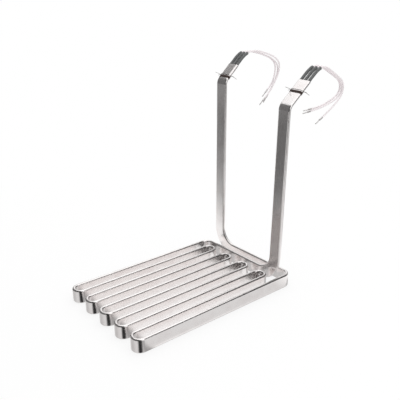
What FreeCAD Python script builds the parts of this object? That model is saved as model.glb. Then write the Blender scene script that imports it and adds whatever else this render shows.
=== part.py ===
import FreeCAD, Part
import math
import os
from FreeCAD import Rotation, Vector

# Flat-sided tubular immersion element: one flattened steel tube folded into a grid
# of runs, with both ends turned up into legs and bent back at the top. Each end has
# three cold pins, with a stiff sleeved lead crimped on each.
# Millimetres. X runs across the grid, +Y to the back, +Z up. The origin is on the
# surface that the grid stands on, under the middle of the element.

# Flattened tube
tube_width = 25.7
tube_thickness = 6.0
wall = 1.0
edge_wall = 2.45
edge_facets = 3
fold_turn = 15.0

# Grid of runs
run_count = 10
run_pitch = 24.1
run_length = 280.0
corner_radius = 16.0
front_to_origin = 193.1

# Strips along the back, from the grid's loops to the legs
loop_to_strip = 9.6
strip_to_strip = 15.0
edge_bend_radius = 42.6

# Legs and their bent ends
left_leg_inset = 16.8
right_leg_inset = 20.9
left_leg_length = 297.5
right_leg_length = 277.8
left_leg_lean = 0.8
right_leg_lean = -1.8
top_bend_radius = 15.0
left_top_bend = 47.0
right_top_bend = 49.5
left_end_length = 33.5
right_end_length = 51.8

# Cold pins, end seals and crimped joints
pin_diameter = 2.2
pin_cover = 0.5
pin_depth = 26.0
pin_reach = 9.0
seal_depth = 6.0
barrel_diameter = 3.9
barrel_length = 10.0
barrel_start = 4.0

# Sleeves, leads and pin terminals
sleeve_bore = 4.6
sleeve_wall = 0.5
sleeve_share = 0.6
sleeve_folds = 3
lead_diameter = 3.0
bend_share = 0.45
round_sides = 6
crimp_diameter = 3.6
crimp_length = 8.0
contact_diameter = 1.9
contact_length = 12.0

# Dark marking bands and twisted wire ties near each end
left_band_from_end = 30.5
right_band_from_end = 26.0
band_width = 5.5
band_thickness = 0.5
tie_gap = 1.2
tie_wire = 0.9
long_tail = 17.0
short_tail = 8.0

# Each lead lies in a plane through its cold pin. Its route is given there as distances
# (ahead, down): along the pin from the end seal, and square to it towards the ground.
# The outer leads' planes lean towards the middle one, so that the three come together.
lead_gather = 2.6
lead_routes = {
    "left_lead_1": [
        (14, 0), (29.5, 0), (46, 11), (60.5, 30.5), (72.5, 50.5), (82.5, 71.5),
        (83, 90), (69, 103), (50.5, 112), (33.5, 111.5),
    ],
    "left_lead_2": [
        (14, 0), (29.5, 0), (47, 11), (62, 30), (73, 52), (82.5, 74), (83.5, 94),
        (68.5, 106.5), (47, 113), (25, 116.5),
    ],
    "left_lead_3": [
        (14, 0), (29.5, 0), (48, 10.5), (63.5, 29), (75.5, 50.5), (85.5, 70.5),
        (86.5, 91), (71.5, 103.5), (52, 109.5), (31.5, 113.5), (12.5, 112.5),
    ],
    "right_lead_1": [
        (14, 0), (32, 0), (48, 11.5), (56.5, 32.5), (64.5, 53), (71, 74), (65.5, 86.2),
        (53.4, 91.9), (35.3, 86.5), (16.5, 78.5), (2, 70), (-11, 60),
    ],
    "right_lead_2": [
        (14, 0), (32, 0), (47, 10.5), (55.5, 32), (63, 53.5), (69, 74.5), (63.4, 86.7),
        (51.2, 92.2), (32.7, 86.7), (14, 77.5), (-4, 66.5), (-19, 55.5),
    ],
    "right_lead_3": [
        (14, 0), (32, 0), (47, 11), (54.5, 30), (62, 49.5), (68.5, 70), (63.8, 83.7),
        (52, 92), (31.5, 91.5), (11.5, 88.5), (-7, 84.5),
    ],
}

bore_width = tube_width - 2 * edge_wall
bore_thickness = tube_thickness - 2 * wall
pin_pitch = bore_width / 2 - pin_diameter / 2 - pin_cover
grid_half_width = run_pitch * (run_count - 1) / 2
hairpin_radius = run_pitch / 2
hairpin_centre_y = tube_thickness / 2 + hairpin_radius
loop_face_y = hairpin_centre_y + run_length + hairpin_centre_y
front_strip_y = loop_face_y + loop_to_strip + tube_thickness / 2
back_strip_y = front_strip_y + tube_thickness + strip_to_strip


class Place:
    """A point of the tube's route, with the way it runs and the way its width lies."""

    def __init__(self, point, along, wide):
        self.point = point
        self.along = along
        self.wide = wide
        self.thin = wide.cross(along)

    def at(self, across, through, ahead=0.0):
        return self.point + self.wide * across + self.thin * through + self.along * ahead

    def ahead(self, distance):
        return Place(self.at(0, 0, distance), self.along, self.wide)

    def turned(self, centre, axis, angle):
        turn = Rotation(axis, angle)
        point = centre + turn.multVec(self.point - centre)
        return Place(point, turn.multVec(self.along), turn.multVec(self.wide))

    def outward(self):
        return Place(self.point, self.along * -1, self.wide * -1)


def bend_axis(place, kind):
    """A flat bend turns about the width, an edge bend about the thickness, others as given."""
    if kind == "flat":
        return place.wide
    return place.thin if kind == "edge" else kind


def bend_centre(place, axis, angle, radius):
    side = math.copysign(radius, angle)
    return place.point + axis.cross(place.along) * side


def walk(start, steps):
    """The place at the start of each step of a route, then the place where it ends."""
    places = [start]
    for kind, amount, radius in steps:
        place = places[-1]
        if kind == "straight":
            places.append(place.ahead(amount))
        else:
            axis = bend_axis(place, kind)
            centre = bend_centre(place, axis, amount, radius)
            places.append(place.turned(centre, axis, amount))
    return places


def skin(start, steps, outline):
    """Side faces that an outline sweeps along a route of straights and bends."""
    faces = []
    for place, (kind, amount, radius) in zip(walk(start, steps), steps):
        wire = outline(place)
        if kind == "straight":
            faces += wire.extrude(place.along * amount).Faces
        else:
            axis = bend_axis(place, kind)
            centre = bend_centre(place, axis, amount, radius)
            faces += wire.revolve(centre, axis * math.copysign(1, amount), abs(amount)).Faces
    return faces


def closed_solid(faces):
    shell = Part.makeCompound(faces)
    shell.sewShape()
    return Part.Solid(shell.Shells[0])


def formed_bar(start, steps, outline):
    caps = [Part.Face(outline(end)) for end in (start, walk(start, steps)[-1])]
    return closed_solid(skin(start, steps, outline) + caps)


def closed_outline(points):
    return Part.makePolygon(points + points[:1])


def rectangle_points(place, width, thickness):
    corners = [(-0.5, -0.5), (0.5, -0.5), (0.5, 0.5), (-0.5, 0.5)]
    return [place.at(x * width, y * thickness) for x, y in corners]


def round_points(place, diameter, ahead=0.0, sides=round_sides):
    """Corners of a few-sided round across a place's axis."""
    turns = [2 * math.pi * side / sides for side in range(sides)]
    radius = diameter / 2
    return [place.at(radius * math.cos(turn), radius * math.sin(turn), ahead) for turn in turns]


def folded_skin(sections):
    """Flat faces between the corners of one section and those of the next."""
    faces = []
    for near, far in zip(sections, sections[1:]):
        for side in range(len(near)):
            after = (side + 1) % len(near)
            outline = closed_outline([near[side], near[after], far[after], far[side]])
            faces.append(Part.Face(outline))
    return faces


def flat_oval(place, extra=0.0):
    """The flattened tube's outline: two flat faces and two rounded edges in facets."""
    edge = tube_thickness / 2
    centre = tube_width / 2 - edge
    full = math.cos(math.pi / (2 * edge_facets))
    points = []
    for side in (1, -1):
        for step in range(edge_facets + 1):
            angle = math.pi * (step / edge_facets - 0.5)
            across = side * (centre + (edge + extra) * math.cos(angle) / full)
            points.append(place.at(across, side * (edge + extra) * math.sin(angle)))
    return closed_outline(points)


def bore_points(place):
    return rectangle_points(place, bore_width, bore_thickness)


def bore_places(start, steps):
    """Places along the bore, whose bends are cut into flat folds."""
    cut = []
    for kind, amount, radius in steps:
        folds = 1 if kind == "straight" else math.ceil(abs(amount) / fold_turn)
        cut += [(kind, amount / folds, radius)] * folds
    return walk(start, cut)


def lead_outline(place):
    """Square of the same area as the round lead."""
    side = lead_diameter * math.sqrt(math.pi) / 2
    return closed_outline(rectangle_points(place, side, side))


def ring_around(place, thickness, width):
    """Band that lies on the tube all round, from a place along its axis."""
    outside = Part.Face(flat_oval(place, thickness))
    return outside.cut(Part.Face(flat_oval(place))).Faces[0].extrude(place.along * width)


def round_bar(place, diameter, start, length, sides=round_sides):
    outline = closed_outline(round_points(place, diameter, start, sides))
    return Part.Face(outline).extrude(place.along * length)


def soft_steps(points):
    """Steps of a soft route: straight runs joined by tangent arcs, as large as they allow."""
    steps = []
    used = 0.0
    for before, corner, after in zip(points, points[1:], points[2:]):
        come = corner - before
        leave = after - corner
        turn = come.getAngle(leave)
        reach = bend_share * min(come.Length, leave.Length)
        steps.append(("straight", come.Length - used - reach, 0))
        axis = come.cross(leave).normalize()
        steps.append((axis, math.degrees(turn), reach / math.tan(turn / 2)))
        used = reach
    steps.append(("straight", (points[-1] - points[-2]).Length - used, 0))
    return steps


def sheath(start, route):
    """One tube from end to end: outer skin, folded bore and the two rims."""
    bore = [bore_points(place) for place in bore_places(start, route)]
    rims = []
    for end, inner in ((start, bore[0]), (walk(start, route)[-1], bore[-1])):
        rims += Part.Face(flat_oval(end)).cut(Part.Face(closed_outline(inner))).Faces
    return closed_solid(skin(start, route, flat_oval) + folded_skin(bore) + rims)


def core(start, route, pins):
    """Packed magnesia with the resistance coils buried in it, up to the end seals."""
    steps = list(route)
    steps[0] = ("straight", route[0][1] - seal_depth, 0)
    steps[-1] = ("straight", route[-1][1] - seal_depth, 0)
    sections = [bore_points(place) for place in bore_places(start.ahead(seal_depth), steps)]
    caps = [Part.Face(closed_outline(section)) for section in (sections[0], sections[-1])]
    return closed_solid(folded_skin(sections) + caps).cut(pins).Solids[0]


def end_seal(end, pins):
    return Part.Face(closed_outline(bore_points(end))).extrude(end.along * -seal_depth).cut(pins).Solids[0]


def cold_pin(seat):
    return round_bar(seat, pin_diameter, -pin_depth, pin_depth + pin_reach)


def crimp_barrel(seat, pin):
    return round_bar(seat, barrel_diameter, barrel_start, barrel_length).cut(pin).Solids[0]


def sleeve(seat, steps):
    """Sleeve over the joint: from the end seal, round the lead's first bend."""
    axis, turn, radius = steps[1]
    route = [("straight", barrel_start + barrel_length + steps[0][1], 0)]
    route += [(axis, turn / sleeve_folds, radius)] * sleeve_folds
    route.append(("straight", steps[2][1] * sleeve_share, 0))
    places = walk(seat, route)
    outside = [round_points(place, sleeve_bore + 2 * sleeve_wall) for place in places]
    bore = [round_points(place, sleeve_bore) for place in places]
    rims = []
    for outer, inner in ((outside[0], bore[0]), (outside[-1], bore[-1])):
        rims += Part.Face(closed_outline(outer)).cut(Part.Face(closed_outline(inner))).Faces
    return closed_solid(folded_skin(outside) + folded_skin(bore) + rims)


def lead(start, steps):
    return formed_bar(start, steps, lead_outline)


def terminal(end):
    """Pin contact crimped on the lead's end: six-sided crimp and round pin."""
    crimp = round_bar(end, crimp_diameter, 0, crimp_length)
    foot = end.at(0, 0, crimp_length)
    contact = Part.makeCylinder(contact_diameter / 2, contact_length, foot, end.along)
    return crimp.fuse(contact).removeSplitter().Solids[0]


def band(middle):
    return ring_around(middle.ahead(-band_width / 2), band_thickness, band_width)


def wire_tie(middle):
    """Wire round the tube, twisted at both edges, with a long and a short tail at each."""
    place = middle.ahead(band_width / 2 + tie_gap)
    tie = ring_around(place, tie_wire, tie_wire)
    tails = []
    for side, length, rise in ((1, long_tail, 0.45), (1, short_tail, 0.05),
                               (-1, long_tail, -0.5), (-1, short_tail, -0.1)):
        foot = place.at(side * (tube_width / 2 + tie_wire), 0, tie_wire / 2)
        way = (place.wide * (0.05 * side) + Vector(0, -side, rise)).normalize()
        across = place.along.cross(way).normalize()
        tails.append(round_bar(Place(foot, way, across), tie_wire, -tie_wire / 2, length, 4))
    return tie.multiFuse(tails).removeSplitter().Solids[0]


# Route from the left leg's top, round the grid, to the right leg's top
left_turn = 90 + left_leg_lean
right_turn = 90 + right_leg_lean
left_foot_reach = edge_bend_radius * math.sin(math.radians(left_turn))
right_foot_reach = edge_bend_radius * math.sin(math.radians(right_turn))
strip_room = 2 * grid_half_width - corner_radius
left_leg_steps = [
    ("straight", left_end_length, 0),
    ("flat", left_top_bend, top_bend_radius),
    ("straight", left_leg_length, 0),
    ("edge", -left_turn, edge_bend_radius),
    ("straight", strip_room - left_leg_inset - left_foot_reach, 0),
    ("flat", -90, corner_radius),
]
right_leg_steps = [
    ("flat", -90, corner_radius),
    ("straight", strip_room - right_leg_inset - right_foot_reach, 0),
    ("edge", -right_turn, edge_bend_radius),
    ("straight", right_leg_length, 0),
    ("flat", right_top_bend, top_bend_radius),
    ("straight", right_end_length, 0),
]
grid_steps = [
    ("straight", back_strip_y - corner_radius - hairpin_centre_y, 0),
    ("flat", -180, hairpin_radius),
]
for run in range(run_count - 2):
    grid_steps.append(("straight", run_length, 0))
    grid_steps.append(("flat", 180 if run % 2 == 0 else -180, hairpin_radius))
grid_steps.append(("straight", front_strip_y - corner_radius - hairpin_centre_y, 0))
route = left_leg_steps + grid_steps + right_leg_steps

leaning = Rotation(Vector(0, 1, 0), left_leg_lean)
left_across = leaning.multVec(Vector(1, 0, 0))
left_inward = Rotation(left_across, -left_top_bend).multVec(leaning.multVec(Vector(0, 0, -1)))
trial = walk(Place(Vector(0, 0, 0), left_inward, left_across), left_leg_steps)[-1]
grid_corner = Vector(
    grid_half_width,
    back_strip_y - corner_radius - front_to_origin,
    tube_width / 2,
)
route_start = Place(grid_corner - trial.point, left_inward, left_across)
ends = {"left": route_start.outward(), "right": walk(route_start, route)[-1]}

parts = {"sheath": sheath(route_start, route)}
band_from_end = {"left": left_band_from_end, "right": right_band_from_end}
all_pins = []
for side, end in ends.items():
    across = end.wide if end.wide.x > 0 else end.wide * -1
    pins = []
    for number in (1, 2, 3):
        name = f"{side}_lead_{number}"
        place = Place(end.point + across * ((number - 2) * pin_pitch), end.along, across)
        lie = place.turned(place.point, place.along, (number - 2) * lead_gather)
        steps = soft_steps([lie.at(0, -down, ahead) for ahead, down in lead_routes[name]])
        lead_start = lie.ahead(barrel_start + barrel_length)
        pins.append(cold_pin(place))
        parts[f"{side}_cold_pin_{number}"] = pins[-1]
        parts[f"{side}_crimp_barrel_{number}"] = crimp_barrel(place, pins[-1])
        parts[f"{side}_sleeve_{number}"] = sleeve(lie, steps)
        parts[name] = lead(lead_start, steps)
        parts[f"{side}_terminal_{number}"] = terminal(walk(lead_start, steps)[-1])
        print(name, "bend radii", [round(radius, 1) for kind, amount, radius in steps[1::2]])
    parts[f"{side}_end_seal"] = end_seal(end, pins)
    band_middle = end.ahead(-band_from_end[side])
    parts[f"{side}_band"] = band(band_middle)
    parts[f"{side}_wire_tie"] = wire_tie(band_middle)
    all_pins += pins
parts["core"] = core(route_start, route, all_pins)

os.makedirs("parts", exist_ok=True)
for name, shape in parts.items():
    shape.exportStep(f"parts/{name}.step")
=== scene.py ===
import math
import random

import bmesh
import bpy
from mathutils import Matrix, Quaternion, Vector


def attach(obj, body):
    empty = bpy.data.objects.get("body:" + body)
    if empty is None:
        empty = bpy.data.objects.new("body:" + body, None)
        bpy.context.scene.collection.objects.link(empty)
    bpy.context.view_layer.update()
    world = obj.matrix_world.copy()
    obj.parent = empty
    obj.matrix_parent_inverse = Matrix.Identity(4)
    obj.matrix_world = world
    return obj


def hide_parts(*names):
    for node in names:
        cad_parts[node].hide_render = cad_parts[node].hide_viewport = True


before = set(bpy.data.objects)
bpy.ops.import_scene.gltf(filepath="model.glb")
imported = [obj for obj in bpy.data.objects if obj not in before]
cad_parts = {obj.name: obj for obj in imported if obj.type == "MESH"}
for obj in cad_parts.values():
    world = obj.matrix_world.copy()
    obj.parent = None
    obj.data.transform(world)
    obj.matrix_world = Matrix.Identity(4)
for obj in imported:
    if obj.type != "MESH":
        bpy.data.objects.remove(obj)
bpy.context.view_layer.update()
rng = random.Random(7)

MM = 0.001

# Sizes of the solids, in millimetres and degrees
TUBE_WIDTH = 25.7
TUBE_THICKNESS = 6.0
EDGE_WALL = 2.45
WALL = 1.0
RUN_COUNT = 10
RUN_PITCH = 24.1
RUN_LENGTH = 280.0
CORNER_RADIUS = 16.0
FRONT_TO_ORIGIN = 193.1
LOOP_TO_STRIP = 9.6
STRIP_TO_STRIP = 15.0
EDGE_BEND_RADIUS = 42.6
LEFT_LEG_INSET = 16.8
RIGHT_LEG_INSET = 20.9
LEFT_LEG_LENGTH = 297.5
RIGHT_LEG_LENGTH = 277.8
LEFT_LEG_LEAN = 0.8
RIGHT_LEG_LEAN = -1.8
TOP_BEND_RADIUS = 15.0
LEFT_TOP_BEND = 47.0
RIGHT_TOP_BEND = 49.5
LEFT_END_LENGTH = 33.5
RIGHT_END_LENGTH = 51.8
SEAL_DEPTH = 6.0
PIN_PITCH = 8.8
BARREL_END = 14.0
SLEEVE_BORE = 4.6
SLEEVE_WALL = 0.5
LEAD_DIAMETER = 3.0
CRIMP_LENGTH = 8.0
CONTACT_DIAMETER = 1.9
CONTACT_LENGTH = 12.0
BAND_FROM_END = {"left": 30.5, "right": 26.0}
BAND_WIDTH = 5.5
TIE_GAP = 1.2
TIE_WIRE = 0.9

# Finer forms than the solids have, in millimetres and degrees
OVAL_CUTS = 12
DEGREES_PER_ROW = 4.5
LONGEST_ROW = 24.0
ROUND_CUTS = 28
SEAL_RINGS = 5
SEAL_SINK = 0.25
SEAL_DISH = 0.35
SEAL_UNEVEN = 0.06
BAND_WOBBLE = 0.12
STRAND_RADIUS = TIE_WIRE / 2 * 0.72
STRAND_LIFT = STRAND_RADIUS * 1.02
STRAND_OFF_AXIS = STRAND_RADIUS * 1.05
STRAND_CUTS = 10
HOOP_SAG = 0.12
HOOP_SINK_PER_SAG = 0.2
TWIST_START = TIE_WIRE * 0.7
TWIST_LENGTH = 4.2
TWIST_TURNS = 1.6
SLEEVE_START = 0.15
SLEEVE_ON_LEAD = 21.0
SLEEVE_FRAY = 0.5
SLEEVE_FLARE = 0.06
SLEEVE_FLARE_POWER = 8
SLEEVE_PRESS = 0.05
SLEEVE_PRESSED_LENGTH = 16.0

# The wire ties' two strands at each edge of the tube, as (length, slope)
TAILS = {1: ((16.5, 0.45), (8.5, 0.02)), -1: ((16.5, -0.5), (8.5, -0.12))}
TAIL_OUTWARDS = 0.05
TAIL_DROOP = 0.8
TAIL_SWAY = 0.4

# The leads' points, the same as the solids', in metres
LEADS = {
    "left_lead_1": [
        (-0.09569, 0.19011, 0.39700), (-0.09554, 0.20145, 0.40757), (-0.09500, 0.22101, 0.41078),
        (-0.09417, 0.24490, 0.40641), (-0.09336, 0.26730, 0.39997), (-0.09252, 0.28892, 0.39143),
        (-0.09187, 0.30189, 0.37825), (-0.09154, 0.30051, 0.35920), (-0.09140, 0.29311, 0.34000),
        (-0.09158, 0.28034, 0.32877),
    ],
    "left_lead_2": [
        (-0.08689, 0.19011, 0.39688), (-0.08674, 0.20145, 0.40745), (-0.08669, 0.22175, 0.41134),
        (-0.08674, 0.24567, 0.40767), (-0.08686, 0.26872, 0.39908), (-0.08699, 0.29067, 0.38947),
        (-0.08719, 0.30505, 0.37553), (-0.08746, 0.30260, 0.35616), (-0.08773, 0.29131, 0.33675),
        (-0.08798, 0.27761, 0.31918),
    ],
    "left_lead_3": [
        (-0.07809, 0.19011, 0.39675), (-0.07794, 0.20145, 0.40732), (-0.07835, 0.22213, 0.41228),
        (-0.07923, 0.24607, 0.40934), (-0.08031, 0.26949, 0.40183), (-0.08133, 0.29043, 0.39405),
        (-0.08246, 0.30513, 0.37977), (-0.08329, 0.30268, 0.36042), (-0.08381, 0.29250, 0.34274),
        (-0.08423, 0.28024, 0.32584), (-0.08436, 0.26566, 0.31362),
    ],
    "right_lead_1": [
        (0.08918, 0.18489, 0.38616), (0.08955, 0.19858, 0.39785), (0.09012, 0.21821, 0.39949),
        (0.09075, 0.23830, 0.38903), (0.09135, 0.25768, 0.37863), (0.09193, 0.27625, 0.36687),
        (0.09208, 0.27998, 0.35402), (0.09196, 0.27448, 0.34183), (0.09147, 0.25721, 0.33419),
        (0.09092, 0.23772, 0.32807), (0.09044, 0.22118, 0.32513), (0.08996, 0.20481, 0.32430),
    ],
    "right_lead_2": [
        (0.09798, 0.18489, 0.38589), (0.09834, 0.19858, 0.39757), (0.09840, 0.21681, 0.39933),
        (0.09806, 0.23723, 0.38851), (0.09770, 0.25690, 0.37703), (0.09732, 0.27510, 0.36497),
        (0.09691, 0.27876, 0.35206), (0.09653, 0.27306, 0.33996), (0.09629, 0.25542, 0.33213),
        (0.09613, 0.23523, 0.32699), (0.09602, 0.21439, 0.32366), (0.09598, 0.19584, 0.32228),
    ],
    "right_lead_3": [
        (0.10677, 0.18489, 0.38561), (0.10714, 0.19858, 0.39730), (0.10668, 0.21712, 0.39870),
        (0.10552, 0.23515, 0.38917), (0.10433, 0.25351, 0.37926), (0.10304, 0.27175, 0.36794),
        (0.10200, 0.27706, 0.35451), (0.10118, 0.27348, 0.34056), (0.10080, 0.25756, 0.32763),
        (0.10060, 0.24041, 0.31692), (0.10050, 0.22375, 0.30794),
    ],
}

sleeve_outside = SLEEVE_BORE + 2 * SLEEVE_WALL
grid_half_width = RUN_PITCH * (RUN_COUNT - 1) / 2
hairpin_radius = RUN_PITCH / 2
hairpin_centre_y = TUBE_THICKNESS / 2 + hairpin_radius
loop_face_y = hairpin_centre_y + RUN_LENGTH + hairpin_centre_y
front_strip_y = loop_face_y + LOOP_TO_STRIP + TUBE_THICKNESS / 2
back_strip_y = front_strip_y + TUBE_THICKNESS + STRIP_TO_STRIP


# The tube's route
class Place:
    """A point of a route in mm, with the way it runs and the way its width lies."""

    def __init__(self, point, along, wide):
        self.point = point
        self.along = along
        self.wide = wide
        self.thin = wide.cross(along)

    def at(self, across, through, ahead=0.0):
        return self.point + self.wide * across + self.thin * through + self.along * ahead

    def ahead(self, distance):
        return Place(self.at(0, 0, distance), self.along, self.wide)

    def turned(self, centre, axis, angle):
        turn = Quaternion(axis, math.radians(angle))
        return Place(centre + turn @ (self.point - centre), turn @ self.along, turn @ self.wide)

    def outward(self):
        return Place(self.point, -self.along, -self.wide)


def walk(start, steps, per_turn=None):
    """Places along a route, with bends cut to a few degrees each where per_turn is given."""
    places = [start]
    for kind, amount, radius in steps:
        place = places[-1]
        if kind == "straight":
            places.append(place.ahead(amount))
            continue
        axis = place.wide if kind == "flat" else place.thin
        centre = place.point + axis.cross(place.along) * math.copysign(radius, amount)
        cuts = max(1, math.ceil(abs(amount) / per_turn)) if per_turn else 1
        for cut in range(cuts):
            places.append(place.turned(centre, axis, amount * (cut + 1) / cuts))
    return places


left_turn = 90 + LEFT_LEG_LEAN
right_turn = 90 + RIGHT_LEG_LEAN
left_foot_reach = EDGE_BEND_RADIUS * math.sin(math.radians(left_turn))
right_foot_reach = EDGE_BEND_RADIUS * math.sin(math.radians(right_turn))
strip_room = 2 * grid_half_width - CORNER_RADIUS
left_leg_steps = [
    ("straight", LEFT_END_LENGTH, 0),
    ("flat", LEFT_TOP_BEND, TOP_BEND_RADIUS),
    ("straight", LEFT_LEG_LENGTH, 0),
    ("edge", -left_turn, EDGE_BEND_RADIUS),
    ("straight", strip_room - LEFT_LEG_INSET - left_foot_reach, 0),
    ("flat", -90, CORNER_RADIUS),
]
right_leg_steps = [
    ("flat", -90, CORNER_RADIUS),
    ("straight", strip_room - RIGHT_LEG_INSET - right_foot_reach, 0),
    ("edge", -right_turn, EDGE_BEND_RADIUS),
    ("straight", RIGHT_LEG_LENGTH, 0),
    ("flat", RIGHT_TOP_BEND, TOP_BEND_RADIUS),
    ("straight", RIGHT_END_LENGTH, 0),
]
grid_steps = [
    ("straight", back_strip_y - CORNER_RADIUS - hairpin_centre_y, 0),
    ("flat", -180, hairpin_radius),
]
for run in range(RUN_COUNT - 2):
    grid_steps.append(("straight", RUN_LENGTH, 0))
    grid_steps.append(("flat", 180 if run % 2 == 0 else -180, hairpin_radius))
grid_steps.append(("straight", front_strip_y - CORNER_RADIUS - hairpin_centre_y, 0))
route = left_leg_steps + grid_steps + right_leg_steps

leaning = Quaternion(Vector((0, 1, 0)), math.radians(LEFT_LEG_LEAN))
left_across = leaning @ Vector((1, 0, 0))
left_inward = Quaternion(left_across, math.radians(-LEFT_TOP_BEND)) @ (leaning @ Vector((0, 0, -1)))
trial = walk(Place(Vector((0, 0, 0)), left_inward, left_across), left_leg_steps)[-1]
grid_corner = Vector(
    (grid_half_width, back_strip_y - CORNER_RADIUS - FRONT_TO_ORIGIN, TUBE_WIDTH / 2)
)
route_start = Place(grid_corner - trial.point, left_inward, left_across)
route_end = walk(route_start, route)[-1]
ends = {"left": route_start.outward(), "right": route_end}


# Meshes
def add_piece(piece, material, node):
    """Puts a piece into the scene, in place of the solid of that node."""
    bpy.context.scene.collection.objects.link(piece)
    piece.data.materials.append(material)
    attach(piece, "root")
    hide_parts(node)


def mesh_piece(name, verts, faces, uvs=None, normals=None):
    """Smooth mesh from points in mm. Its faces are turned outwards where no normals are given."""
    mesh = bpy.data.meshes.new(name)
    mesh.from_pydata([v * MM for v in verts], [], faces)
    if uvs:
        layer = mesh.uv_layers.new(name="UVMap")
        layer.data.foreach_set("uv", [c for face in uvs for uv in face for c in uv])
    mesh.polygons.foreach_set("use_smooth", [True] * len(mesh.polygons))
    if normals:
        mesh.normals_split_custom_set_from_vertices(normals)
    else:
        turned = bmesh.new()
        turned.from_mesh(mesh)
        bmesh.ops.recalc_face_normals(turned, faces=turned.faces)
        turned.to_mesh(mesh)
        turned.free()
    mesh.update()
    return bpy.data.objects.new(name, mesh)


def oval(width, thickness, cuts=OVAL_CUTS):
    """A flattened tube's outline as (across, through, normal across, normal through)."""
    edge = thickness / 2
    centre = width / 2 - edge
    points = []
    for side in (1, -1):
        for step in range(cuts + 1):
            angle = math.pi * (step / cuts - 0.5)
            c, s = side * math.cos(angle), side * math.sin(angle)
            points.append((side * centre + edge * c, edge * s, c, s))
    return points


def round_section(radius, cuts=ROUND_CUTS):
    """A circle's outline, in the same form as oval."""
    turns = [2 * math.pi * k / cuts for k in range(cuts)]
    return [(radius * math.cos(t), radius * math.sin(t), math.cos(t), math.sin(t)) for t in turns]


def ring_quads(first, second, count):
    """Quads between two closed rows of points, from the numbers of their first points."""
    quads = []
    for k in range(count):
        n = (k + 1) % count
        quads.append((first + k, first + n, second + n, second + k))
    return quads


def running_length(points):
    """How far along the line each of its points lies."""
    lengths = [0.0]
    for a, b in zip(points, points[1:]):
        lengths.append(lengths[-1] + (b - a).length)
    return lengths


def swept(places, outline):
    """Points, faces, UVs in metres (length, girth) and normals of an outline swept along."""
    count = len(outline)
    closed = [Vector((x, y)) for x, y, _, _ in outline + outline[:1]]
    girth = [reach * MM for reach in running_length(closed)]
    length = [reach * MM for reach in running_length([place.point for place in places])]
    verts, normals, faces, uvs = [], [], [], []
    for place in places:
        for x, y, nx, ny in outline:
            verts.append(place.at(x, y))
            normals.append(place.wide * nx + place.thin * ny)
    for i in range(len(places) - 1):
        here, there = i * count, (i + 1) * count
        near, far = length[i], length[i + 1]
        for k in range(count):
            n = (k + 1) % count
            low, high = girth[k], girth[k + 1]
            faces.append((here + k, there + k, there + n, here + n))
            uvs.append(((near, low), (far, low), (far, high), (near, high)))
    return verts, faces, uvs, normals


def frames_along(points, wide):
    """Places along a line of points, turned as little as possible from one to the next."""
    places = []
    for i, point in enumerate(points):
        ahead = points[min(i + 1, len(points) - 1)] - points[max(i - 1, 0)]
        along = ahead.normalized()
        wide = (wide - along * wide.dot(along)).normalized()
        places.append(Place(point, along, wide))
    return places


# Materials
class Shader:
    """Makes the nodes of a material or world from sockets to link and plain values."""

    def __init__(self, tree):
        self.nodes = tree.nodes
        self.links = tree.links

    def feed(self, socket, value):
        if isinstance(value, bpy.types.NodeSocket):
            self.links.new(value, socket)
        else:
            socket.default_value = value

    def node(self, kind, inputs=None, **settings):
        """A node with its settings, and with values fed to its inputs by name or number."""
        node = self.nodes.new(kind)
        for name, setting in settings.items():
            setattr(node, name, setting)
        for name, value in (inputs or {}).items():
            self.feed(node.inputs[name], value)
        return node

    def maths(self, operation, *values):
        node = self.node("ShaderNodeMath", dict(enumerate(values)), operation=operation)
        return node.outputs[0]

    def product(self, a, b):
        return self.maths("MULTIPLY", a, b)

    def rise(self, value, low, high, start=0.0, end=1.0):
        """Smooth step from start to end while the value goes from low to high."""
        inputs = {"Value": value, "From Min": low, "From Max": high, "To Min": start, "To Max": end}
        node = self.node("ShaderNodeMapRange", inputs, interpolation_type="SMOOTHSTEP")
        return node.outputs["Result"]

    def fall(self, value, low, high):
        return self.rise(value, low, high, 1.0, 0.0)

    def noise(self, vector, scale, detail=3.0, roughness=0.5):
        inputs = {"Vector": vector, "Scale": scale, "Detail": detail, "Roughness": roughness}
        return self.node("ShaderNodeTexNoise", inputs).outputs["Fac"]

    def ramp(self, source, stops):
        """Colours between (position, colour) stops."""
        node = self.node("ShaderNodeValToRGB", {"Fac": source})
        elements = node.color_ramp.elements
        for element, (position, colour) in zip(elements, (stops[0], stops[-1])):
            element.position = position
            element.color = (*colour, 1)
        for position, colour in stops[1:-1]:
            elements.new(position).color = (*colour, 1)
        return node.outputs["Color"]

    def grey_ramp(self, source, stops):
        return self.ramp(source, [(position, (grey, grey, grey)) for position, grey in stops])

    def mix_colours(self, share, first, second):
        inputs = {"Factor": share, "A": first, "B": second}
        return self.node("ShaderNodeMix", inputs, data_type="RGBA").outputs["Result"]

    def mix(self, share, first, second):
        return self.node("ShaderNodeMixShader", {0: share, 1: first, 2: second}).outputs[0]

    def glow(self, strength):
        return self.node("ShaderNodeEmission", {"Strength": strength}).outputs[0]

    def bump(self, height, strength, distance):
        inputs = {"Height": height, "Strength": strength, "Distance": distance}
        return self.node("ShaderNodeBump", inputs).outputs["Normal"]

    def split(self, vector):
        return self.node("ShaderNodeSeparateXYZ", {"Vector": vector}).outputs

    def coordinates(self):
        return self.node("ShaderNodeTexCoord").outputs

    def rays(self):
        return self.node("ShaderNodeLightPath").outputs


def new_material(name, **surface):
    """A material and its shader. surface names inputs of its surface, with _ for a space."""
    material = bpy.data.materials.new(name)
    material.use_nodes = True
    shader = Shader(material.node_tree)
    dress(shader, **surface)
    return material, shader


def dress(shader, **surface):
    """Sets or links the inputs of the material's own surface."""
    inputs = shader.nodes["Principled BSDF"].inputs
    for name, value in surface.items():
        shader.feed(inputs[name.replace("_", " ")], value)


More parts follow.
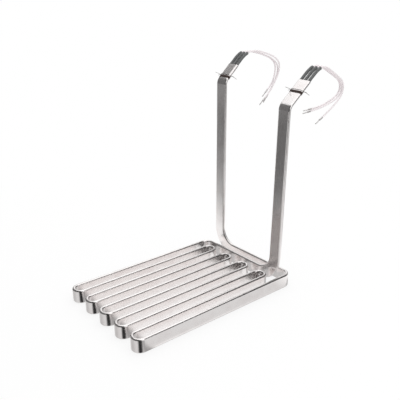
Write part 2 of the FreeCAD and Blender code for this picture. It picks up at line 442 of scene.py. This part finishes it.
def steel_material():
    """Satin steel: lengthwise grain, faint cloudy stains, and painted shade as near-black specks inside
    the tight loops at the back.
    """
    material, shader = new_material(
        "sheath_steel", Metallic=1.0, Anisotropic=0.4, Anisotropic_Rotation=0.25,
    )
    coordinates = shader.coordinates()
    drawn_out = shader.node(
        "ShaderNodeMapping", {"Vector": coordinates["UV"], "Scale": (60, 4500, 1)},
    ).outputs["Vector"]
    grain = shader.noise(drawn_out, scale=1.0, detail=4.0, roughness=0.6)
    cloud = shader.noise(coordinates["Object"], scale=40.0, detail=5.0, roughness=0.6)
    clean = shader.ramp(cloud, [
        (0.3, (0.92, 0.875, 0.865)), (0.5, (0.975, 0.94, 0.93)), (0.72, (0.99, 0.967, 0.96)),
    ])
    specks = shader.noise(coordinates["Object"], scale=420.0, detail=4.0, roughness=0.7)
    # Painted shade: near-black specks where the points lie inside a tight loop at the back
    painted_loop_shade = shader.node("ShaderNodeAttribute", attribute_name="painted_loop_shade").outputs["Fac"]
    dark = shader.product(shader.fall(specks, 0.42, 0.58), painted_loop_shade)
    lengthwise = shader.node("ShaderNodeTangent", direction_type="UV_MAP", uv_map="UVMap")
    rough = shader.maths("MULTIPLY_ADD", grain, 0.08, 0.16)
    dress(
        shader,
        Base_Color=shader.mix_colours(dark, clean, (0.16, 0.145, 0.14, 1)),
        Tangent=lengthwise.outputs["Tangent"],
        Roughness=shader.maths("MULTIPLY_ADD", cloud, 0.06, rough),
        Normal=shader.bump(grain, strength=0.08, distance=0.00005),
    )
    return material


def metal(name, colour, roughness):
    """Metal with fine spots, a little darker and less rough than the rest."""
    material, shader = new_material(name, Metallic=1.0)
    spots = shader.noise(shader.coordinates()["Object"], scale=900.0)
    low = [c * 0.85 for c in colour]
    dress(
        shader,
        Base_Color=shader.ramp(spots, [(0.3, low), (0.7, colour)]),
        Roughness=shader.maths("MULTIPLY_ADD", spots, 0.15, roughness),
    )
    return material


def matte(name, colour, roughness, scale=700.0, darkest=0.85):
    """Matte, finely pitted stuff whose pits are as dark as the given share of its colour."""
    material, shader = new_material(name, Roughness=roughness)
    spots = shader.noise(shader.coordinates()["Object"], scale, detail=5.0, roughness=0.6)
    low = [c * darkest for c in colour]
    dress(
        shader,
        Base_Color=shader.ramp(spots, [(0.35, low), (0.65, colour)]),
        Normal=shader.bump(spots, strength=0.3, distance=0.0001),
    )
    return material


def braid(name, light, dark, turns, rows, roughness, strength):
    """Two sets of strands that cross on the slant, from UVs along and round the braid, with painted
    shade darkening the low gaps between the strands.
    """
    material, shader = new_material(name, Roughness=roughness)
    uv = shader.split(shader.coordinates()["UV"])
    along = shader.product(uv["X"], rows)
    around = shader.product(uv["Y"], turns)
    waves = []
    for slant in ("ADD", "SUBTRACT"):
        angle = shader.product(shader.maths(slant, along, around), 2 * math.pi)
        waves.append(shader.maths("SINE", angle))
    height = shader.maths("MULTIPLY_ADD", shader.product(*waves), 0.5, 0.5)
    dress(
        shader,
        # Painted shade: the colour darkens where the weave is low, between the strands
        Base_Color=shader.ramp(height, [(0.15, dark), (0.75, light)]),
        Normal=shader.bump(height, strength, distance=0.00012),
    )
    return material


steel = steel_material()
pin_metal = metal("cold_pin_metal", (0.55, 0.55, 0.55), roughness=0.3)
barrel_metal = metal("crimp_barrel_metal", (0.72, 0.7, 0.64), roughness=0.28)
contact_metal = metal("contact_metal", (0.93, 0.9, 0.89), roughness=0.42)
tie_metal = metal("tie_wire_metal", (0.34, 0.31, 0.29), roughness=0.4)
seal_ceramic = matte("seal_ceramic", (0.62, 0.57, 0.5), roughness=0.8)
magnesia = matte("core_magnesia", (0.8, 0.79, 0.75), roughness=0.9)
band_dark = matte("band_dark", (0.05, 0.026, 0.02), roughness=0.75, scale=500.0, darkest=0.45)
sleeve_braid = braid(
    "sleeve_braid", light=(0.19, 0.195, 0.195), dark=(0.04, 0.042, 0.043),
    turns=9, rows=500, roughness=0.55, strength=0.7,
)
lead_braid = braid(
    "lead_braid", light=(0.85, 0.79, 0.805), dark=(0.82, 0.76, 0.775),
    turns=6, rows=200, roughness=0.7, strength=0.06,
)

# Sheath
OUTLINE = oval(TUBE_WIDTH, TUBE_THICKNESS)
BORE = oval(TUBE_WIDTH - 2 * EDGE_WALL, TUBE_THICKNESS - 2 * WALL)
TIGHT_TURN_PER_MM = 0.04
LEVEL_SLOPE = 0.01


def with_supports(places):
    """The same places with long straights cut into shorter ones."""
    out = [places[0]]
    for a, b in zip(places, places[1:]):
        gap = (b.point - a.point).length
        cuts = math.ceil(gap / LONGEST_ROW)
        out += [a.ahead(gap * k / cuts) for k in range(1, cuts)]
        out.append(b)
    return out


def painted_loop_shades(places, normals):
    """How far each point lies on the inside of a tight loop at the back, 0 to 1, which sets how much
    painted shade darkens the steel there.
    """
    count = len(OUTLINE)
    turns = []
    for a, b in zip(places, places[1:]):
        turn = b.along - a.along
        level = abs(turn.z) < LEVEL_SLOPE * turn.length
        at_back = 0 < a.point.y < loop_face_y - FRONT_TO_ORIGIN
        tight = turn.length > TIGHT_TURN_PER_MM * (b.point - a.point).length
        turns.append(turn.normalized() if level and at_back and tight else Vector((0, 0, 0)))
    turns = [turns[0]] + turns + [turns[-1]]
    shares = []
    for i in range(len(places)):
        inward = max(turns[i], turns[i + 1], key=lambda turn: turn.length)
        shares += [max(0.0, inward.dot(normals[i * count + k])) for k in range(count)]
    return shares + [0.0] * (len(normals) - len(shares))


def sheath_piece():
    """The tube's skin along its route, with a rim and the start of the bore at both ends."""
    places = with_supports(walk(route_start, route, DEGREES_PER_ROW))
    verts, faces, uvs, normals = swept(places, OUTLINE)
    count = len(OUTLINE)
    for end, side in ((route_start, -1), (route_end, 1)):
        rim = len(verts)
        lip = rim + 2 * count
        mouth = [end.at(x, y) for x, y, _, _ in BORE]
        verts += [end.at(x, y) for x, y, _, _ in OUTLINE] + mouth + mouth
        verts += [end.at(x, y, -side * SEAL_DEPTH) for x, y, _, _ in BORE]
        normals += [end.along * side] * (2 * count)
        normals += [-(end.wide * nx + end.thin * ny) for _, _, nx, ny in BORE] * 2
        quads = ring_quads(rim, rim + count, count) + ring_quads(lip, lip + count, count)
        faces += [quad[::-1] for quad in quads] if side == 1 else quads
        uvs += [((0, 0), (0, MM), (MM, MM), (MM, 0))] * len(quads)
    piece = mesh_piece("sheath_fine", verts, faces, uvs, normals)
    # Painted shade inside the tight loops at the back, as a share per point
    painted_loop_shade = piece.data.attributes.new("painted_loop_shade", "FLOAT", "POINT")
    painted_loop_shade.data.foreach_set("value", painted_loop_shades(places, normals))
    return piece


add_piece(sheath_piece(), steel, "sheath")


# Seals, bands and wire ties
def seal_piece(side, end):
    """Potting that fills the tube's mouth, a little sunk and uneven."""
    count = len(BORE)
    verts, faces = [], []
    for ring in range(SEAL_RINGS + 1):
        share = 1 - ring / SEAL_RINGS
        sink = SEAL_SINK + SEAL_DISH * (1 - share)
        for x, y, _, _ in BORE:
            uneven = rng.uniform(-SEAL_UNEVEN, SEAL_UNEVEN)
            verts.append(end.at(x * share, y * share, -sink + uneven))
    for ring in range(SEAL_RINGS):
        faces += ring_quads(ring * count, (ring + 1) * count, count)
    back = len(verts)
    verts += [end.at(x, y, -SEAL_DEPTH) for x, y, _, _ in BORE]
    faces += ring_quads(back, 0, count)
    faces.append(tuple(back + k for k in reversed(range(count))))
    piece = mesh_piece(f"{side}_seal_potting", verts, faces)
    add_piece(piece, seal_ceramic, f"{side}_end_seal")


def band_piece(side, middle):
    """Dark shrunk band: slightly uneven edges and rounded rims."""
    half = [(0, 0.52), (0.3, 0.5), (0.46, 0.38), (0.5, 0.05)]
    rows = [(-share, lift) for share, lift in half[:0:-1]] + half
    count = len(OUTLINE)
    wobble = [rng.uniform(-BAND_WOBBLE, BAND_WOBBLE) for _ in OUTLINE]
    verts, faces = [], []
    for share, lift in rows:
        for (x, y, nx, ny), uneven in zip(OUTLINE, wobble):
            ahead = share * BAND_WIDTH + uneven * share * 2
            verts.append(middle.at(x + nx * lift, y + ny * lift, ahead))
    for row in range(len(rows) - 1):
        faces += ring_quads(row * count, (row + 1) * count, count)
    piece = mesh_piece(f"{side}_band_shrunk", verts, faces)
    add_piece(piece, band_dark, f"{side}_band")


def tie_hoops(middle):
    """Two wires that lie over the tube's flats, from edge to edge."""
    edge = TUBE_THICKNESS / 2 + STRAND_LIFT
    centre = TUBE_WIDTH / 2 - TUBE_THICKNESS / 2
    corner_cuts, flat_cuts = 6, 12
    corner = []
    for k in range(corner_cuts + 1):
        angle = math.pi / 2 * k / corner_cuts
        corner.append((centre + edge * math.cos(angle), edge * math.sin(angle)))
    hoops = []
    for face_side in (1, -1):
        points = [middle.at(-x, face_side * y) for x, y in corner]
        for k in range(1, flat_cuts):
            sag = HOOP_SAG * math.sin(math.pi * k / flat_cuts)
            across = centre * (2 * k / flat_cuts - 1)
            lift = edge - sag * HOOP_SINK_PER_SAG
            points.append(middle.at(across, face_side * lift, sag))
        points += [middle.at(x, face_side * y) for x, y in reversed(corner)]
        hoops.append((points, middle.along))
    return hoops


def tie_tails(middle):
    """At each of the tube's edges, two strands that are twisted together and then part."""
    twist_cuts, tail_cuts = 24, 12
    tails = []
    for tail_side, pair in TAILS.items():
        foot = middle.at(tail_side * (TUBE_WIDTH / 2 + TWIST_START), 0)
        outwards = middle.wide * (TAIL_OUTWARDS * tail_side)
        slope_between = (pair[0][1] + pair[1][1]) / 2
        twist_way = (outwards + Vector((0, -tail_side, slope_between))).normalized()
        across = twist_way.orthogonal().normalized()
        other = twist_way.cross(across)
        for strand, (length, slope) in enumerate(pair):
            points = []
            for k in range(twist_cuts + 1):
                share = k / twist_cuts
                angle = 2 * math.pi * TWIST_TURNS * share + math.pi * strand
                aside = across * math.cos(angle) + other * math.sin(angle)
                on_axis = foot + twist_way * (TWIST_LENGTH * share)
                points.append(on_axis + aside * STRAND_OFF_AXIS)
            tip = points[-1]
            way = (outwards + Vector((0, -tail_side, slope))).normalized()
            droop = Vector((TAIL_SWAY * tail_side, 0, -TAIL_DROOP - strand))
            for k in range(1, tail_cuts + 1):
                share = k / tail_cuts
                points.append(tip + way * ((length - TWIST_LENGTH) * share) + droop * share ** 2)
            tails.append((points, across))
    return tails


def tie_piece(side, band_middle):
    """Soft wire round the tube, twisted at both edges, with two free tails at each."""
    middle = band_middle.ahead(BAND_WIDTH / 2 + TIE_GAP + TIE_WIRE / 2)
    section = round_section(STRAND_RADIUS, STRAND_CUTS)
    verts, faces = [], []
    for points, wide in tie_hoops(middle) + tie_tails(middle):
        first = len(verts)
        tube_verts, tube_faces, _, _ = swept(frames_along(points, wide), section)
        verts += tube_verts
        faces += [tuple(first + i for i in face) for face in tube_faces]
        for row, point in ((first, points[0]), (len(verts) - STRAND_CUTS, points[-1])):
            faces += [(len(verts), row + (k + 1) % STRAND_CUTS, row + k) for k in range(STRAND_CUTS)]
            verts.append(point)
    piece = mesh_piece(f"{side}_tie_twisted", verts, faces)
    add_piece(piece, tie_metal, f"{side}_wire_tie")


# Leads, sleeves and terminals
def lead_curve(name, points):
    curve = bpy.data.curves.new(f"{name}_braided", "CURVE")
    curve.dimensions = "3D"
    curve.resolution_u = 14
    curve.bevel_depth = LEAD_DIAMETER / 2 * MM
    curve.bevel_resolution = 5
    curve.use_fill_caps = True
    spline = curve.splines.new("NURBS")
    spline.points.add(len(points) - 1)
    for slot, point in zip(spline.points, points):
        slot.co = (*point, 1)
    spline.order_u = 3
    spline.use_endpoint_u = True
    return bpy.data.objects.new(f"{name}_braided", curve)


def centreline(lead):
    """The curve's own line as points in mm."""
    bare = lead.data.copy()
    bare.bevel_depth = 0
    probe = bpy.data.objects.new("probe", bare)
    bpy.context.scene.collection.objects.link(probe)
    graph = bpy.context.evaluated_depsgraph_get()
    mesh = bpy.data.meshes.new_from_object(probe.evaluated_get(graph))
    points = [v.co / MM for v in mesh.vertices]
    bpy.data.objects.remove(probe)
    bpy.data.meshes.remove(mesh)
    bpy.data.curves.remove(bare)
    return points


def sleeve_line(seat, line):
    """Points from the seal, over the joint and on along the lead."""
    joint_cuts = 10
    points = [seat.at(0, 0, SLEEVE_START + BARREL_END * k / joint_cuts) for k in range(joint_cuts + 1)]
    used = 0.0
    for a, b in zip(line, line[1:]):
        step = (b - a).length
        if used + step > SLEEVE_ON_LEAD:
            points.append(a.lerp(b, (SLEEVE_ON_LEAD - used) / step))
            break
        used += step
        points.append(b)
    return points


def sleeve_piece(side, number, seat, line):
    """Braided sleeve from the seal, round the lead's first bend, cut a little ragged."""
    places = frames_along(sleeve_line(seat, line), seat.wide)
    lengths = running_length([place.point for place in places])
    outline = round_section(sleeve_outside / 2)
    count, rows = len(outline), len(places)
    ragged = [rng.uniform(-SLEEVE_FRAY, SLEEVE_FRAY) for _ in outline]
    verts, faces, uvs = [], [], []
    for layer in (1.0, SLEEVE_BORE / sleeve_outside):
        for i, place in enumerate(places):
            flare = layer * (1.0 + SLEEVE_FLARE * (i / (rows - 1)) ** SLEEVE_FLARE_POWER)
            pressed = min(1.0, lengths[i] / SLEEVE_PRESSED_LENGTH)
            press = 1.0 - SLEEVE_PRESS * math.sin(math.pi * pressed)
            for (x, y, _, _), fray in zip(outline, ragged):
                verts.append(place.at(x * flare, y * flare * press, fray if i == rows - 1 else 0.0))

    def join_rows(first, second, near, far):
        for k, quad in enumerate(ring_quads(first, second, count)):
            low, high = k / count, (k + 1) / count
            faces.append(quad)
            uvs.append(((near, low), (near, high), (far, high), (far, low)))

    for layer_start in (0, rows * count):
        for i in range(rows - 1):
            row = layer_start + i * count
            join_rows(row, row + count, lengths[i] * MM, lengths[i + 1] * MM)
    for end_row in (0, (rows - 1) * count):
        join_rows(end_row, rows * count + end_row, 0, SLEEVE_WALL * MM)
    piece = mesh_piece(f"{side}_sleeve_{number}_braided", verts, faces, uvs)
    add_piece(piece, sleeve_braid, f"{side}_sleeve_{number}")


def lathe(place, profile):
    """Points and faces of a turned shape from (ahead, radius) pairs."""
    verts, faces = [], []
    for ahead, radius in profile:
        verts += [place.at(x, y, ahead) for x, y, _, _ in round_section(radius)]
    for row in range(len(profile) - 1):
        faces += ring_quads(row * ROUND_CUTS, (row + 1) * ROUND_CUTS, ROUND_CUTS)
    faces.append(tuple(reversed(range(ROUND_CUTS))))
    faces.append(tuple(len(verts) - ROUND_CUTS + k for k in range(ROUND_CUTS)))
    return verts, faces


def terminal_piece(side, number, tip, way):
    """Crimped barrel with two pressed waists, then a round pin with a rounded tip."""
    wide = (Vector((1, 0, 0)) - way * way.x).normalized()
    pin = CONTACT_DIAMETER / 2
    end = CRIMP_LENGTH + CONTACT_LENGTH
    profile = [
        (0.0, 1.55), (0.15, 1.7), (0.9, 1.72),
        (1.5, 1.5), (2.3, 1.42), (3.1, 1.5), (3.6, 1.7), (4.2, 1.7),
        (4.8, 1.5), (5.5, 1.42), (6.3, 1.5), (6.8, 1.68), (7.7, 1.66),
        (CRIMP_LENGTH, 1.5), (CRIMP_LENGTH + 0.3, pin + 0.1), (CRIMP_LENGTH + 0.6, pin),
        (end - 0.9, pin), (end - 0.4, pin * 0.82), (end - 0.12, pin * 0.5), (end, pin * 0.15),
    ]
    verts, faces = lathe(Place(tip, way, wide), profile)
    piece = mesh_piece(f"{side}_terminal_{number}_crimped", verts, faces)
    add_piece(piece, contact_metal, f"{side}_terminal_{number}")
    return piece


def lead_pieces(side, number, end, across):
    """One lead with its sleeve and terminal."""
    name = f"{side}_lead_{number}"
    seat = Place(end.point + across * ((number - 2) * PIN_PITCH), end.along, across)
    lead = lead_curve(name, LEADS[name])
    add_piece(lead, lead_braid, name)
    line = centreline(lead)
    sleeve_piece(side, number, seat, line)
    terminal = terminal_piece(side, number, line[-1], (line[-1] - line[-2]).normalized())


for side, end in ends.items():
    seal_piece(side, end)
    band_middle = end.ahead(-BAND_FROM_END[side])
    band_piece(side, band_middle)
    tie_piece(side, band_middle)
    across = end.wide if end.wide.x > 0 else -end.wide
    for number in (1, 2, 3):
        lead_pieces(side, number, end, across)

# Solids that show as they are
solid_materials = {"cold_pin": pin_metal, "crimp_barrel": barrel_metal, "core": magnesia}
for name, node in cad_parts.items():
    for word, material in solid_materials.items():
        if word in name:
            node.data.materials.clear()
            node.data.materials.append(material)

# The floor in metres: its radius, and soft edges of what metal mirrors as pale paper, a glow with
# painted light and shade
FLOOR_RADIUS = 1.6
FLOOR_CUTS = 96
LEFT_SIDE = (-0.125, -0.113)
LEFT_FRONT = (-0.17, -0.14)
FAR_LEFT = (-0.2, -0.16)
RIGHT_SIDE = (0.113, 0.12)
RIGHT_FRONT = (-0.175, -0.155)
BACK = (0.165, 0.175)
UNDER_LOOPS_FRONT = (-0.185, -0.175)
UNDER_LOOPS_BACK = (-0.168, -0.155)
BACK_BRIGHTENS = (0.12, 0.18)
BACK_DIMS = (0.22, 0.36)
WHITE_FROM = (0.3, 0.8)

# Painted light and shade: brightness of the glowing paper left of the object, as metal mirrors it,
# along a slant from its front (0) to its back (1)
LEFT_TONES = [
    (0.05, 0.12), (0.2, 0.18), (0.39, 0.24), (0.48, 0.28), (0.54, 0.36), (0.62, 0.7), (0.7, 0.95),
    (0.8, 0.98),
]
SLANT_PER_METRE = 2.5
SLANT_SIDEWAYS = 1.25
SLANT_AT_ORIGIN = 0.3
# Painted light and shade in the glow that metal mirrors: paper right of the object, under the front
# loops, and far behind
RIGHT_TONES = (0.69, 0.95)
UNDER_LOOPS_PAINTED_SHADE = 0.35
BACK_DIMMED_TO = 0.5


def painted_mirrored_floor(shader, x, y):
    """What metal sees of the floor: paper beside, behind and before the object, which glows with
    painted light and shade, darker under the front loops and towards the front and dimmer far behind;
    else the room.
    """
    left = shader.maths(
        "MAXIMUM",
        shader.product(shader.fall(x, *LEFT_SIDE), shader.rise(y, *LEFT_FRONT)),
        shader.fall(x, *FAR_LEFT),
    )
    right = shader.maths(
        "MAXIMUM",
        shader.product(shader.rise(x, *RIGHT_SIDE), shader.rise(y, *RIGHT_FRONT)),
        shader.rise(y, *BACK),
    )
    shade_under_loops = shader.product(
        shader.product(shader.rise(y, *UNDER_LOOPS_FRONT), shader.fall(y, *UNDER_LOOPS_BACK)),
        shader.rise(x, *LEFT_SIDE),
    )
    backwards = shader.maths("MULTIPLY_ADD", y, SLANT_PER_METRE, SLANT_AT_ORIGIN)
    slanted = shader.maths("SUBTRACT", backwards, shader.product(x, SLANT_SIDEWAYS))
    left_tone = shader.grey_ramp(slanted, LEFT_TONES)
    right_tone = shader.rise(y, *BACK_BRIGHTENS, *RIGHT_TONES)
    dimmed = shader.rise(y, *BACK_DIMS, 1.0, BACK_DIMMED_TO)
    floor = shader.node("ShaderNodeBsdfTransparent").outputs[0]
    # Painted shade: the paper under the front loops glows dimmer
    floor = shader.mix(shade_under_loops, floor, shader.glow(UNDER_LOOPS_PAINTED_SHADE))
    floor = shader.mix(right, floor, shader.glow(shader.product(right_tone, dimmed)))
    return shader.mix(left, floor, shader.glow(shader.product(left_tone, dimmed)))


def floor_material():
    """White paper that keeps the object's shadow; metal mirrors it only in some places, as a glow with
    painted light and shade.
    """
    material, shader = new_material(
        "floor_paper", Base_Color=(0.93, 0.93, 0.93, 1), Roughness=0.9, Specular_IOR_Level=0.1,
    )
    paper = shader.nodes["Principled BSDF"].outputs[0]
    position = shader.node("ShaderNodeNewGeometry").outputs["Position"]
    reach = shader.node("ShaderNodeVectorMath", {0: position}, operation="LENGTH").outputs["Value"]
    whiteness = shader.rise(reach, *WHITE_FROM, 0.82, 1.0)
    seen = shader.mix(whiteness, paper, shader.glow(1.0))
    place = shader.split(position)
    rays = shader.rays()
    floor = shader.mix(rays["Is Glossy Ray"], paper, painted_mirrored_floor(shader, place["X"], place["Y"]))
    floor = shader.mix(rays["Is Camera Ray"], floor, seen)
    shader.feed(shader.nodes["Material Output"].inputs["Surface"], floor)
    return material


def floor_piece():
    mesh = bpy.data.meshes.new("floor")
    corners = [(x, y, 0) for x, y, _, _ in round_section(FLOOR_RADIUS, FLOOR_CUTS)]
    mesh.from_pydata(corners, [], [tuple(range(len(corners)))])
    mesh.materials.append(floor_material())
    floor = bpy.data.objects.new("floor", mesh)
    bpy.context.scene.collection.objects.link(floor)


# The room round the object as (degrees from the front towards the right, brightness)
ROOM_BELOW = [
    (0, 0.68), (28, 0.7), (42, 0.02), (76, 0.02), (90, 0.5), (112, 0.7), (122, 1.0), (134, 1.0),
    (148, 0.5), (205, 0.5), (222, 0.95), (250, 0.95), (290, 0.6), (306, 0.52), (330, 0.56), (360, 0.68),
]
ROOM_ABOVE = [
    (0, 0.06), (66, 0.05), (80, 0.55), (108, 0.5), (116, 0.03), (158, 0.02), (182, 0.3), (200, 0.38),
    (256, 0.38), (268, 0.17), (290, 0.13), (340, 0.13), (360, 0.06),
]
BELOW_TO_ABOVE = (-0.31, -0.07)
EVEN_LIGHT = (0.72, 0.72, 0.72, 1)
WHITE = (1, 1, 1, 1)


def world_light():
    """Even light; metal mirrors a pale room, dim near the camera; the camera sees white."""
    world = bpy.data.worlds.new("studio")
    bpy.context.scene.world = world
    world.use_nodes = True
    shader = Shader(world.node_tree)
    shader.nodes.clear()
    way = shader.split(shader.coordinates()["Generated"])
    angle = shader.maths("ARCTAN2", way["X"], shader.product(way["Y"], -1.0))
    turn = shader.maths("FRACT", shader.maths("DIVIDE", angle, 2 * math.pi))
    below, above = [
        shader.grey_ramp(turn, [(degrees / 360, grey) for degrees, grey in room])
        for room in (ROOM_BELOW, ROOM_ABOVE)
    ]
    room = shader.mix_colours(shader.rise(way["Z"], *BELOW_TO_ABOVE), below, above)
    even, mirrored, seen = [
        shader.node("ShaderNodeBackground", {"Color": colour}).outputs[0]
        for colour in (EVEN_LIGHT, room, WHITE)
    ]
    rays = shader.rays()
    light = shader.mix(rays["Is Glossy Ray"], even, mirrored)
    light = shader.mix(rays["Is Camera Ray"], light, seen)
    shader.node("ShaderNodeOutputWorld", {"Surface": light})


def softbox(name, place, target, size, glow):
    """Area light whose face is as bright as glow, where 1 is white."""
    light = bpy.data.lights.new(name, "AREA")
    light.shape = "RECTANGLE"
    light.size, light.size_y = size
    light.energy = glow * math.pi * size[0] * size[1]
    lamp = bpy.data.objects.new(name, light)
    lamp.location = place
    lamp.rotation_mode = "QUATERNION"
    lamp.rotation_quaternion = (Vector(target) - Vector(place)).to_track_quat("-Z", "Y")
    lamp.visible_camera = False
    bpy.context.scene.collection.objects.link(lamp)


floor_piece()
world_light()
softbox(
    "softbox_top", place=(0.08, 0.25, 1.5), target=(0.08, 0.25, 0), size=(2.25, 1.7), glow=0.9,
)
softbox(
    "softbox_left", place=(-1.16, 0.9, 0.72), target=(0, 0, 0.05), size=(1.3, 1.2), glow=0.55,
)
softbox(
    "softbox_right", place=(1.5, 0.1, 0.8), target=(0, 0, 0.1), size=(0.7, 1.0), glow=1.0,
)

# Camera as fitted to the photograph: degrees, metres, and a focal length in pixels
CAMERA_AZIMUTH = 51.20
CAMERA_ELEVATION = 20.50
CAMERA_ROLL = -0.67
CAMERA_PLACE = (0.72456, -0.56027, 0.51865)
FOCAL_PIXELS = 553.45
PHOTO_PIXELS = 400
SENSOR_WIDTH = 36.0


def photo_camera():
    azimuth = math.radians(CAMERA_AZIMUTH)
    elevation = math.radians(CAMERA_ELEVATION)
    level_back = Vector((math.sin(azimuth), -math.cos(azimuth), 0))
    back = level_back * math.cos(elevation) + Vector((0, 0, math.sin(elevation)))
    right = Vector((math.cos(azimuth), math.sin(azimuth), 0))
    roll = Quaternion(back, math.radians(CAMERA_ROLL))
    right, up = roll @ right, roll @ back.cross(right)
    data = bpy.data.cameras.new("camera")
    data.sensor_fit = "HORIZONTAL"
    data.sensor_width = SENSOR_WIDTH
    data.lens = FOCAL_PIXELS / PHOTO_PIXELS * SENSOR_WIDTH
    data.clip_start = 0.01
    camera = bpy.data.objects.new("camera", data)
    turned = Matrix((right, up, back)).transposed().to_4x4()
    camera.matrix_world = Matrix.Translation(CAMERA_PLACE) @ turned
    bpy.context.scene.collection.objects.link(camera)
    bpy.context.scene.camera = camera


photo_camera()
bpy.context.scene.view_settings.view_transform = "Standard"
